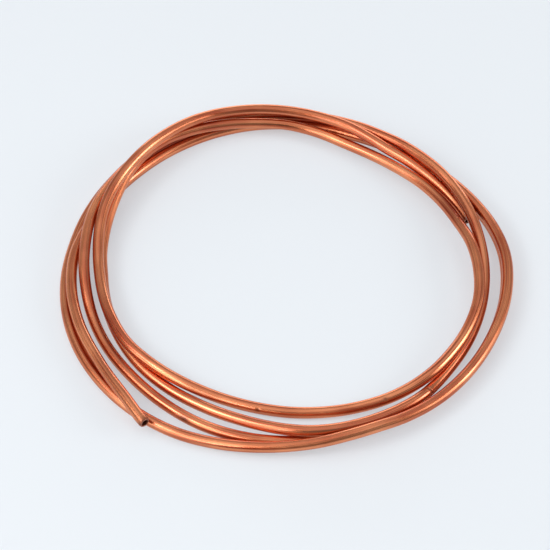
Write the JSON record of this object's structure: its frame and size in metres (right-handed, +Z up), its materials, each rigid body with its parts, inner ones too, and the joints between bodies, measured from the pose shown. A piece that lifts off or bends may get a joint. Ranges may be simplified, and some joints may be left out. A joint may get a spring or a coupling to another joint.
{
  "type": "copper tube coil",
  "caption": "Loose round coil of soft copper tube lying flat, one continuous tube with an open bore and plain cut ends.",
  "frame": {"origin": "centre of the coil's footprint, on the floor it lies on", "axes": "+Z up along the coil's axis, +X to the right of the free cut end as seen from the front (-Y)"},
  "size_m": [0.2578, 0.2542, 0.0246],
  "materials": {
    "copper": "satin drawn copper"
  },
  "bodies": {
    "root": {"copper_tube": "copper"}
  },
  "joints": []
}
